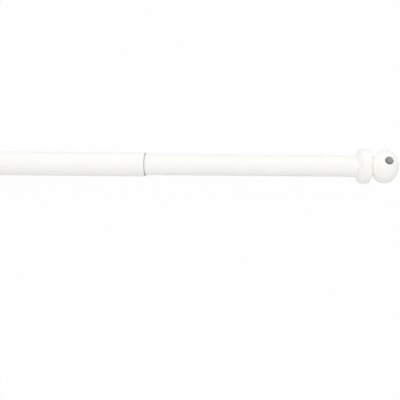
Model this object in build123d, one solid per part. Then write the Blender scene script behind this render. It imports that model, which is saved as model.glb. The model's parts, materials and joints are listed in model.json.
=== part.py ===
from build123d import *
from math import atan2, degrees, hypot, sqrt
import os

# Sash rod, in millimetres: a telescopic rod for a small curtain on a window sash.
# A thin steel tube slides in a wider one. Each outer end has a moulded finial, a ball on a rimmed collar,
# whose cross hole drops over the upright of a wall hook. A finned plug holds the finial in its tube.
# Frame: +X runs along the rod to the inner tube's finial, +Y faces the window, and +Z is up, along the
# hook holes. The origin is on the rod's axis, in the middle of the left finial's hook hole.

# Tubes, rolled from strip with a butt seam along the back
OUTER_TUBE_DIAMETER = 11.0
OUTER_TUBE_WALL = 0.4
OUTER_TUBE_LENGTH = 262.0
INNER_TUBE_WALL = 0.45
INNER_TUBE_LENGTH = 245.0
SLIDE_CLEARANCE = 0.25      # radial, between the inner tube and the outer tube's bore
EXPOSED_LENGTH = 96.4       # inner tube in view at rest, from the outer tube's mouth to the collar
SEAM_GAP = 0.3
TUBE_EDGE_ROUND = 0.15      # deburred outer edge of a cut tube end

# Finial, turned form: collar, neck and ball
COLLAR_DIAMETER = 16.0
CROWN_WIDTH = 3.7           # flat top of the collar, between its sharp corners
TUBE_SIDE_LEAN = 1.6        # how far the flank towards the tube leans over its height
BALL_SIDE_LEAN = 1.7        # the same for the flank towards the ball
CROWN_ROUND = 1.2
NECK_DIAMETER = 7.6
NECK_LENGTH = 0.65
NECK_ROUND = 0.25
BALL_DIAMETER = 15.4
BALL_LENGTH = 12.2          # along the rod: the ball is a little flattened
HOOK_HOLE_DIAMETER = 3.7
HOOK_HOLE_ROUND = 0.2

# Finial plug: fins on a slim core, with a lead-in at the tip
PLUG_LENGTH = 12.0
PLUG_CORE_DIAMETER = 5.0
PLUG_CLEARANCE = 0.05       # radial, between the fins and the tube's bore
PLUG_LEAD_IN = 1.5          # length of the tapered tip
PLUG_TAPER = 0.5            # radial step of the tapered tip
FIN_COUNT = 6
FIN_WIDTH = 1.4

# Worked out from the sizes above
OUTER_BORE_RADIUS = OUTER_TUBE_DIAMETER / 2 - OUTER_TUBE_WALL
INNER_TUBE_RADIUS = OUTER_BORE_RADIUS - SLIDE_CLEARANCE
INNER_BORE_RADIUS = INNER_TUBE_RADIUS - INNER_TUBE_WALL
BALL_CHORD = hypot(BALL_LENGTH, BALL_DIAMETER) / 2
BALL_FLATNESS = (BALL_DIAMETER - BALL_LENGTH) / 2
BELT_RADIUS = BALL_CHORD * (BALL_CHORD - BALL_FLATNESS) / BALL_DIAMETER
TIP_RADIUS = BALL_CHORD * (BALL_CHORD + BALL_FLATNESS) / BALL_LENGTH
NECK_TO_BALL_CENTRE = sqrt(TIP_RADIUS ** 2 - NECK_DIAMETER ** 2 / 4) - TIP_RADIUS + BALL_LENGTH / 2
COLLAR_WIDTH = TUBE_SIDE_LEAN + CROWN_WIDTH + BALL_SIDE_LEAN
SEAT_TO_BALL_CENTRE = COLLAR_WIDTH + NECK_LENGTH + NECK_TO_BALL_CENTRE
LEFT_SEAT_X = SEAT_TO_BALL_CENTRE
MOUTH_X = LEFT_SEAT_X + OUTER_TUBE_LENGTH
RIGHT_SEAT_X = MOUTH_X + EXPOSED_LENGTH
TOLERANCE = 1e-4


def rolled_tube(outer_radius, wall, length):
    """A tube along +X from the origin, with its butt seam at +Y and deburred ends."""
    strip = Circle(outer_radius) - Circle(outer_radius - wall)
    seam = Pos(outer_radius, 0) * Rectangle(4 * wall, SEAM_GAP)
    tube = extrude(Plane.YZ * (strip - seam), length)
    rims = tube.edges().filter_by(GeomType.CIRCLE).filter_by(lambda e: e.radius > outer_radius - wall / 2)
    return fillet(rims, TUBE_EDGE_ROUND)


def ball_profile():
    """The upper half of the flattened ball, an oval of four arcs that meet on one slanted normal."""
    slant = degrees(atan2(BALL_LENGTH, BALL_DIAMETER))
    tip = CenterArc((BALL_LENGTH / 2 - TIP_RADIUS, 0), TIP_RADIUS, 0, slant)
    belt = CenterArc((0, BALL_DIAMETER / 2 - BELT_RADIUS), BELT_RADIUS, slant, 180 - 2 * slant)
    back = CenterArc((TIP_RADIUS - BALL_LENGTH / 2, 0), TIP_RADIUS, 180 - slant, slant)
    return make_face([tip, belt, back, Line(back @ 1, tip @ 0)])


def finial_profile(seat_radius):
    """Half of the finial's lengthwise section, from its seat on the tube at x = 0 to the ball's tip."""
    crown = COLLAR_DIAMETER / 2
    neck = NECK_DIAMETER / 2
    flanks = [
        (0, 0),
        (0, seat_radius),
        (TUBE_SIDE_LEAN, crown),
        (TUBE_SIDE_LEAN + CROWN_WIDTH, crown),
        (COLLAR_WIDTH, neck),
        (COLLAR_WIDTH, 0),
    ]
    collar = make_face(Polyline(*flanks, close=True))
    collar = fillet(collar.vertices().group_by(Axis.Y)[-1], CROWN_ROUND)
    stem = Rectangle(SEAT_TO_BALL_CENTRE, neck, align=(Align.MIN, Align.MIN))
    profile = collar + stem + Pos(SEAT_TO_BALL_CENTRE, 0) * ball_profile()
    outboard = profile.vertices().filter_by(lambda v: v.X > COLLAR_WIDTH - TOLERANCE)
    corners = outboard.filter_by(lambda v: abs(v.Y - neck) < TOLERANCE)
    return fillet(corners, NECK_ROUND)


def finned_plug(bore_radius):
    """The plug along -X from the seat: fins that reach the bore, tapered at the tip."""
    crest = bore_radius - PLUG_CLEARANCE
    fin = Rectangle(crest, FIN_WIDTH, align=(Align.MIN, Align.CENTER))
    star = Circle(PLUG_CORE_DIAMETER / 2)
    for index in range(FIN_COUNT):
        star += Rot(0, 0, index * 360 / FIN_COUNT) * fin
    fins = extrude(Plane.YZ * star, -PLUG_LENGTH)
    outline = [
        (0, 0),
        (0, crest),
        (PLUG_LEAD_IN - PLUG_LENGTH, crest),
        (-PLUG_LENGTH, crest - PLUG_TAPER),
        (-PLUG_LENGTH, 0),
    ]
    return fins & revolve(make_face(Polyline(*outline, close=True)), Axis.X)


def finial(seat_radius, bore_radius):
    """A whole finial with its seat at the origin and its ball towards +X."""
    body = revolve(finial_profile(seat_radius), Axis.X)
    hole = Pos(SEAT_TO_BALL_CENTRE, 0, 0) * Cylinder(HOOK_HOLE_DIAMETER / 2, 2 * BALL_DIAMETER)
    drilled = body - hole
    rims = new_edges(body, hole, combined=drilled)
    return fillet(rims, HOOK_HOLE_ROUND) + finned_plug(bore_radius)


def build_pieces():
    """Every piece of the rod at rest, by name."""
    left = finial(OUTER_TUBE_DIAMETER / 2, OUTER_BORE_RADIUS)
    right = finial(INNER_TUBE_RADIUS, INNER_BORE_RADIUS)
    outer = rolled_tube(OUTER_TUBE_DIAMETER / 2, OUTER_TUBE_WALL, OUTER_TUBE_LENGTH)
    inner = rolled_tube(INNER_TUBE_RADIUS, INNER_TUBE_WALL, INNER_TUBE_LENGTH)
    return {
        "outer_tube": Pos(LEFT_SEAT_X, 0, 0) * outer,
        "inner_tube": Pos(RIGHT_SEAT_X - INNER_TUBE_LENGTH, 0, 0) * inner,
        "left_finial": Pos(LEFT_SEAT_X, 0, 0) * Rot(0, 0, 180) * left,
        "right_finial": Pos(RIGHT_SEAT_X, 0, 0) * right,
    }


os.makedirs("parts", exist_ok=True)
for name, piece in build_pieces().items():
    export_step(piece, f"parts/{name}.step")
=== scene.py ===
"""Looks of the telescopic sash rod: white coated steel tubes and glossy moulded finials on a pale floor."""

import json
import math

import bpy
from mathutils import Matrix, Vector


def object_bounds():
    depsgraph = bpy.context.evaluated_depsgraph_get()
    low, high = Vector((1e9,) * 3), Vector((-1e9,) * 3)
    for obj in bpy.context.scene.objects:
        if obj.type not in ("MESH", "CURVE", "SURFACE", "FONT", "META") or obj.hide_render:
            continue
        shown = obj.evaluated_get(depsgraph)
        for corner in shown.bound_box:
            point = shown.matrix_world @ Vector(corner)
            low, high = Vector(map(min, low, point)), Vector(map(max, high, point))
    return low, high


# Camera, matched to the photograph: place from the right hook hole in metres, angles in degrees
CAMERA_FROM_RIGHT_HOLE = (-0.07474, -0.08241, 0.20441)
VIEW_ELEVATION = 70.76
VIEW_YAW = 1.613
VIEW_ROLL = -1.005
CAMERA_LENS = 43.2
SENSOR_WIDTH = 36.0
FRAME_SHIFT = (-0.04, -0.03)
CLIP_START = 0.01               # metres

# Light
SKY_LIGHT = 0.77
SKY_LEAN = (0.22, 0.46, -0.32)  # how much the sky light grows towards each axis
KEY_STRENGTH = 1.76
KEY_FROM = (-0.34, -0.37, 0.86) # direction to the light
KEY_SPREAD = 20.0               # degrees across

# Floor
FLOOR_SIZE = 12.0               # metres
FLOOR_ROUGHNESS = 0.9
FLOOR_SPECULAR = 0.1
FLOOR_WHITE_SHARE = 0.95        # plain white where the floor is seen; the rest keeps the shadow

# Colours, linear
WHITE = (1.0, 1.0, 1.0, 1.0)
FLOOR_COLOUR = (0.8, 0.8, 0.8, 1.0)
COAT_COLOUR = (0.953, 0.948, 0.918, 1.0)
COAT_SHADE = (0.935, 0.93, 0.899, 1.0)
STEEL_COLOUR = (0.45, 0.445, 0.43, 1.0)
# painted shade: the bore inside the tubes is coloured near black for the shade within it
BORE_SHADE_COLOUR = (0.05, 0.048, 0.045, 1.0)
PLASTIC_COLOUR = (0.956, 0.951, 0.925, 1.0)
PLASTIC_SHADE = (0.944, 0.939, 0.912, 1.0)
# painted shade: the hook holes' walls are coloured grey for the shade inside them
HOLE_SHADE_COLOUR = (0.72, 0.715, 0.69, 1.0)

# Texture sizes, as features to the metre
PEEL_SCALE = 900.0
COAT_MOTTLE_SCALE = 60.0
PLASTIC_MOTTLE_SCALE = 180.0
ROLL_MARK_SCALE = (6.0, 700.0, 700.0)
MOULD_GRAIN_SCALE = 1600.0

# Bumps: strength, then depth in metres
PEEL_BUMP = (0.12, 0.00003)
ROLL_MARK_BUMP = (0.08, 0.00003)
PARTING_BUMP = (0.5, 0.00004)
MOULD_GRAIN_BUMP = (0.05, 0.00002)

# Ranges and limits on the surfaces
NOISE_RANGE = (0.3, 0.7)        # where most values of a noise lie
COAT_ROUGHNESS = (0.24, 0.34)
PLASTIC_ROUGHNESS = (0.16, 0.24)
BARE_METALLIC = 0.8
COAT_FACING = (0.35, 0.75)      # the coat begins and is full, between a cut edge at 0 and the outside at 1
PARTING_HALF_WIDTH = 0.00012    # metres
HOLE_FADE = (0.000025, 0.0001)  # metres past a hole's wall where its painted shade starts and ends to fade


def new_material(name):
    """An empty node material and its Principled shader."""
    material = bpy.data.materials.new(name)
    material.use_nodes = True
    return material, material.node_tree.nodes["Principled BSDF"]


def object_noise(tree, scale, detail=2.0):
    """Noise in the piece's own space; a scale of three numbers stretches it along the axes."""
    place = tree.nodes.new("ShaderNodeTexCoord")
    noise = tree.nodes.new("ShaderNodeTexNoise")
    noise.inputs["Detail"].default_value = detail
    if isinstance(scale, tuple):
        stretch = tree.nodes.new("ShaderNodeMapping")
        stretch.inputs["Scale"].default_value = scale
        noise.inputs["Scale"].default_value = 1.0
        tree.links.new(place.outputs["Object"], stretch.inputs["Vector"])
        tree.links.new(stretch.outputs["Vector"], noise.inputs["Vector"])
    else:
        noise.inputs["Scale"].default_value = scale
        tree.links.new(place.outputs["Object"], noise.inputs["Vector"])
    return noise.outputs["Fac"]


def remap(tree, value, low, high, start, end):
    """A value from low to high, mapped to run from start to end."""
    node = tree.nodes.new("ShaderNodeMapRange")
    for name, number in (("From Min", low), ("From Max", high), ("To Min", start), ("To Max", end)):
        node.inputs[name].default_value = number
    tree.links.new(value, node.inputs["Value"])
    return node.outputs["Result"]


def calculate(tree, operation, first, second=None):
    """What a Math node makes of one or two values, each a socket or a number."""
    node = tree.nodes.new("ShaderNodeMath")
    node.operation = operation
    for socket, value in zip(node.inputs, (first, second)):
        if isinstance(value, float):
            socket.default_value = value
        elif value is not None:
            tree.links.new(value, socket)
    return node.outputs["Value"]


def mix_colour(tree, factor, first, second):
    """Two colours, each a socket or fixed, mixed by a factor."""
    node = tree.nodes.new("ShaderNodeMix")
    node.data_type = "RGBA"  # its colour sockets are inputs 6 and 7 and output 2
    tree.links.new(factor, node.inputs["Factor"])
    for socket, colour in ((node.inputs[6], first), (node.inputs[7], second)):
        if isinstance(colour, tuple):
            socket.default_value = colour
        else:
            tree.links.new(colour, socket)
    return node.outputs[2]


def add_bump(tree, height, strength, depth, normal=None):
    """A bump of the given depth in metres, laid over an earlier one if there is one."""
    node = tree.nodes.new("ShaderNodeBump")
    node.inputs["Strength"].default_value = strength
    node.inputs["Distance"].default_value = depth
    tree.links.new(height, node.inputs["Height"])
    if normal is not None:
        tree.links.new(normal, node.inputs["Normal"])
    return node.outputs["Normal"]


def facing_outward(tree):
    """1 on a tube's outside, 0 on its cut ends and seam edges, and -1 in its bore."""
    place = tree.nodes.new("ShaderNodeTexCoord")
    across = tree.nodes.new("ShaderNodeVectorMath")
    across.operation = "MULTIPLY"
    across.inputs[1].default_value = (0.0, 1.0, 1.0)  # leaves out the place along the tube
    outward = tree.nodes.new("ShaderNodeVectorMath")
    outward.operation = "NORMALIZE"
    facing = tree.nodes.new("ShaderNodeVectorMath")
    facing.operation = "DOT_PRODUCT"
    tree.links.new(place.outputs["Object"], across.inputs[0])
    tree.links.new(across.outputs["Vector"], outward.inputs[0])
    tree.links.new(outward.outputs["Vector"], facing.inputs[0])
    tree.links.new(place.outputs["Normal"], facing.inputs[1])
    return facing.outputs["Value"]


def coat_material():
    """White gloss enamel on rolled steel: faint peel and roll marks, bare cut edges, and painted shade that
    colours the bore near black.
    """
    material, shader = new_material("coated_steel")
    tree = material.node_tree
    begins, full = COAT_FACING
    facing = facing_outward(tree)
    coated = remap(tree, facing, begins, full, 0.0, 1.0)
    # painted shade: the bore's colour turns near black, standing in for the shade inside the tube
    painted_bore_shade = remap(tree, facing, -full, -begins, 1.0, 0.0)
    mottle = remap(tree, object_noise(tree, COAT_MOTTLE_SCALE, detail=3.0), *NOISE_RANGE, 0.0, 1.0)
    bare = mix_colour(tree, painted_bore_shade, STEEL_COLOUR, BORE_SHADE_COLOUR)
    coat = mix_colour(tree, mottle, COAT_COLOUR, COAT_SHADE)
    tree.links.new(mix_colour(tree, coated, bare, coat), shader.inputs["Base Color"])
    tree.links.new(remap(tree, coated, 0.0, 1.0, BARE_METALLIC, 0.0), shader.inputs["Metallic"])
    roll_marks = object_noise(tree, ROLL_MARK_SCALE, detail=4.0)
    tree.links.new(remap(tree, roll_marks, *NOISE_RANGE, *COAT_ROUGHNESS), shader.inputs["Roughness"])
    peel = add_bump(tree, object_noise(tree, PEEL_SCALE), *PEEL_BUMP)
    tree.links.new(add_bump(tree, roll_marks, *ROLL_MARK_BUMP, peel), shader.inputs["Normal"])
    return material


def hole_share(tree, split, hole):
    """1 on the wall of a hook hole and 0 outside it: near the upright line through either ball's middle."""
    left = calculate(tree, "ABSOLUTE", split.outputs["X"])
    right = calculate(tree, "ABSOLUTE", calculate(tree, "SUBTRACT", split.outputs["X"], hole["pos_m"][0]))
    along = calculate(tree, "MINIMUM", left, right)
    squares = [calculate(tree, "MULTIPLY", side, side) for side in (along, split.outputs["Y"])]
    reach = calculate(tree, "SQRT", calculate(tree, "ADD", *squares))
    wall = hole["dims"]["r_mm"] / 1000
    starts, ends = HOLE_FADE
    return remap(tree, reach, wall + starts, wall + ends, 1.0, 0.0)


def plastic_material(hole):
    """Glossy white moulded plastic with a fine grain, a faint parting line, and painted shade that colours
    the hook holes' walls grey.
    """
    material, shader = new_material("finial_plastic")
    tree = material.node_tree
    place = tree.nodes.new("ShaderNodeTexCoord")
    split = tree.nodes.new("ShaderNodeSeparateXYZ")
    tree.links.new(place.outputs["Object"], split.inputs[0])
    mottle = remap(tree, object_noise(tree, PLASTIC_MOTTLE_SCALE, detail=3.0), *NOISE_RANGE, 0.0, 1.0)
    plastic = mix_colour(tree, mottle, PLASTIC_COLOUR, PLASTIC_SHADE)
    # painted shade: the hook holes' walls darken to grey, standing in for the shade inside them
    painted_hole_shade = hole_share(tree, split, hole)
    tree.links.new(mix_colour(tree, painted_hole_shade, plastic, HOLE_SHADE_COLOUR), shader.inputs["Base Color"])
    grain = object_noise(tree, MOULD_GRAIN_SCALE)
    tree.links.new(remap(tree, grain, *NOISE_RANGE, *PLASTIC_ROUGHNESS), shader.inputs["Roughness"])
    height = calculate(tree, "ABSOLUTE", split.outputs["Z"])
    parting = remap(tree, height, 0.0, PARTING_HALF_WIDTH, 1.0, 0.0)
    line = add_bump(tree, parting, *PARTING_BUMP)
    tree.links.new(add_bump(tree, grain, *MOULD_GRAIN_BUMP, line), shader.inputs["Normal"])
    return material


def white_share(tree, share):
    """The share on rays from the camera, gloss and glass, and 0 on rays that gather light."""
    path = tree.nodes.new("ShaderNodeLightPath")
    seen = path.outputs["Is Camera Ray"]
    for kind in ("Is Glossy Ray", "Is Transmission Ray"):
        seen = calculate(tree, "MAXIMUM", seen, path.outputs[kind])
    return calculate(tree, "MULTIPLY", seen, share)


def make_floor(level):
    """A wide pale floor at the given height, nearly white where it is seen, which keeps the rod's shadow."""
    half = FLOOR_SIZE / 2
    mesh = bpy.data.meshes.new("floor")
    corners = [(-half, -half, level), (half, -half, level), (half, half, level), (-half, half, level)]
    mesh.from_pydata(corners, [], [(0, 1, 2, 3)])
    floor = bpy.data.objects.new("floor", mesh)
    bpy.context.scene.collection.objects.link(floor)
    material, shader = new_material("floor")
    material.cycles.emission_sampling = "NONE"  # its white is only seen, so it is no lamp
    shader.inputs["Base Color"].default_value = FLOOR_COLOUR
    shader.inputs["Roughness"].default_value = FLOOR_ROUGHNESS
    shader.inputs["Specular IOR Level"].default_value = FLOOR_SPECULAR
    tree = material.node_tree
    white = tree.nodes.new("ShaderNodeEmission")
    white.inputs["Color"].default_value = WHITE
    mix = tree.nodes.new("ShaderNodeMixShader")
    tree.links.new(white_share(tree, FLOOR_WHITE_SHARE), mix.inputs["Fac"])
    tree.links.new(shader.outputs["BSDF"], mix.inputs[1])
    tree.links.new(white.outputs["Emission"], mix.inputs[2])
    tree.links.new(mix.outputs["Shader"], tree.nodes["Material Output"].inputs["Surface"])
    mesh.materials.append(material)


def make_world():
    """Soft light that grows towards one side, and plain white where it is seen."""
    world = bpy.data.worlds.new("studio")
    world.use_nodes = True
    bpy.context.scene.world = world
    tree = world.node_tree
    place = tree.nodes.new("ShaderNodeTexCoord")
    lean = tree.nodes.new("ShaderNodeVectorMath")
    lean.operation = "DOT_PRODUCT"
    lean.inputs[1].default_value = SKY_LEAN
    tree.links.new(place.outputs["Generated"], lean.inputs[0])
    light = tree.nodes["Background"]
    light.inputs["Color"].default_value = WHITE
    tree.links.new(calculate(tree, "ADD", lean.outputs["Value"], SKY_LIGHT), light.inputs["Strength"])
    white = tree.nodes.new("ShaderNodeBackground")
    white.inputs["Color"].default_value = WHITE
    mix = tree.nodes.new("ShaderNodeMixShader")
    tree.links.new(white_share(tree, 1.0), mix.inputs["Fac"])
    tree.links.new(light.outputs["Background"], mix.inputs[1])
    tree.links.new(white.outputs["Background"], mix.inputs[2])
    tree.links.new(mix.outputs["Shader"], tree.nodes["World Output"].inputs["Surface"])


def make_key_light():
    """A soft light from the viewer's side, the same all along the rod, which leaves no hard glint."""
    lamp = bpy.data.lights.new("key", "SUN")
    lamp.energy = KEY_STRENGTH
    lamp.angle = math.radians(KEY_SPREAD)
    light = bpy.data.objects.new("key", lamp)
    light.rotation_euler = Vector(KEY_FROM).to_track_quat("Z", "Y").to_euler()
    light.visible_glossy = False
    bpy.context.scene.collection.objects.link(light)


def make_camera(target):
    """The photograph's camera, placed from the target point."""
    elevation = math.radians(VIEW_ELEVATION)
    yaw = math.radians(VIEW_YAW)
    back = Vector((
        math.sin(yaw) * math.cos(elevation),
        -math.cos(yaw) * math.cos(elevation),
        math.sin(elevation),
    ))
    right = Vector((math.cos(yaw), math.sin(yaw), 0.0))
    up = back.cross(right)
    turn = Matrix((right, up, back)).transposed() @ Matrix.Rotation(math.radians(VIEW_ROLL), 3, "Z")
    data = bpy.data.cameras.new("camera")
    data.lens = CAMERA_LENS
    data.sensor_width = SENSOR_WIDTH
    data.shift_x, data.shift_y = FRAME_SHIFT
    data.clip_start = CLIP_START
    camera = bpy.data.objects.new("camera", data)
    place = target + Vector(CAMERA_FROM_RIGHT_HOLE)
    camera.matrix_world = Matrix.Translation(place) @ turn.to_4x4()
    bpy.context.scene.collection.objects.link(camera)
    bpy.context.scene.camera = camera


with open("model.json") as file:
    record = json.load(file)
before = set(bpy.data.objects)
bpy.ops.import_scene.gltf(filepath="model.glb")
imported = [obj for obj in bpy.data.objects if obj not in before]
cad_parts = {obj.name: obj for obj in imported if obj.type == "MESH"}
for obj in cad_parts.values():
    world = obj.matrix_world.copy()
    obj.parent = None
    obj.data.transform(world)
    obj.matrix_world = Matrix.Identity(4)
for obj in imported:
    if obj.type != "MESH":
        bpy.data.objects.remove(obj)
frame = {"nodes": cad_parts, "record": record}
cad_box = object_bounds()
right_hole = next(m for m in frame["record"]["mounts"] if m["name"] == "right_hook_hole")
coat = coat_material()
plastic = plastic_material(right_hole)
for node, material in (
    ("outer_tube", coat),
    ("inner_tube", coat),
    ("left_finial", plastic),
    ("right_finial", plastic),
):
    frame["nodes"][node].data.materials.clear()
    frame["nodes"][node].data.materials.append(material)
make_floor(cad_box[0].z)
make_world()
make_key_light()
make_camera(Vector(right_hole["pos_m"]))
bpy.context.scene.view_settings.view_transform = "Standard"
